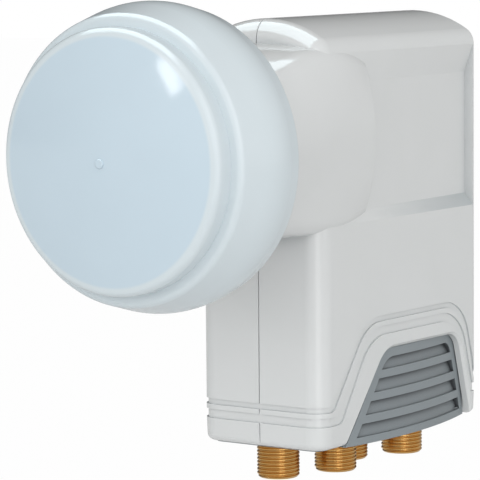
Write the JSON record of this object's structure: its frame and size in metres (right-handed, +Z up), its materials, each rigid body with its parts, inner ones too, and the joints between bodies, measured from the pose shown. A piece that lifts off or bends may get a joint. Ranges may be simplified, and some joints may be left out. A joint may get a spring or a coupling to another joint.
{
  "type": "satellite dish converter",
  "caption": "White moulded satellite feed converter: domed horn cap, round clamp neck, tall body with a louvred grey vent base and threaded brass ports in a zigzag row.",
  "frame": {"origin": "on the feed axis at the middle of the round clamp neck", "axes": "+Y along the feed axis from the horn to the back of the body, +Z up, so the ports point down -Z and the horn faces -Y"},
  "size_m": [0.0645, 0.1204, 0.1067],
  "materials": {
    "cap_white": "glossy moulded",
    "housing_white": "satin moulded",
    "vent_grey": "satin moulded",
    "casting": "as cast",
    "lid_sheet": "rolled sheet",
    "board_green": "solder resist",
    "chip_black": "moulded",
    "chip_part": "ceramic",
    "crystal_can": "plated",
    "probe_wire": "gold plated",
    "bead": "moulded",
    "screw_steel": "zinc plated",
    "port_brass": "turned",
    "port_core": "moulded",
    "contact": "plated",
    "seal_rubber": "moulded"
  },
  "bodies": {
    "root": {"feed_cap": "cap_white", "cap_seal": "seal_rubber", "right_shell": "housing_white", "left_shell": "housing_white", "vent_base": "vent_grey", "chassis": "casting", "rf_board": "board_green", "if_board": "board_green", "converter_chips": "chip_black", "rf_chip_parts": "chip_part", "crystal": "crystal_can", "switch_chip": "chip_black", "regulators": "chip_black", "if_chip_parts": "chip_part", "vertical_probe": "probe_wire", "horizontal_probe": "probe_wire", "probe_beads": "bead", "rf_lid": "lid_sheet", "if_lid": "lid_sheet", "rf_lid_screws": "screw_steel", "if_lid_screws": "screw_steel", "port_1_body": "port_brass", "port_1_insulator": "port_core", "port_1_contact": "contact", "port_1_seal": "seal_rubber", "port_2_body": "port_brass", "port_2_insulator": "port_core", "port_2_contact": "contact", "port_2_seal": "seal_rubber", "port_3_body": "port_brass", "port_3_insulator": "port_core", "port_3_contact": "contact", "port_3_seal": "seal_rubber", "port_4_body": "port_brass", "port_4_insulator": "port_core", "port_4_contact": "contact", "port_4_seal": "seal_rubber"}
  },
  "joints": []
}
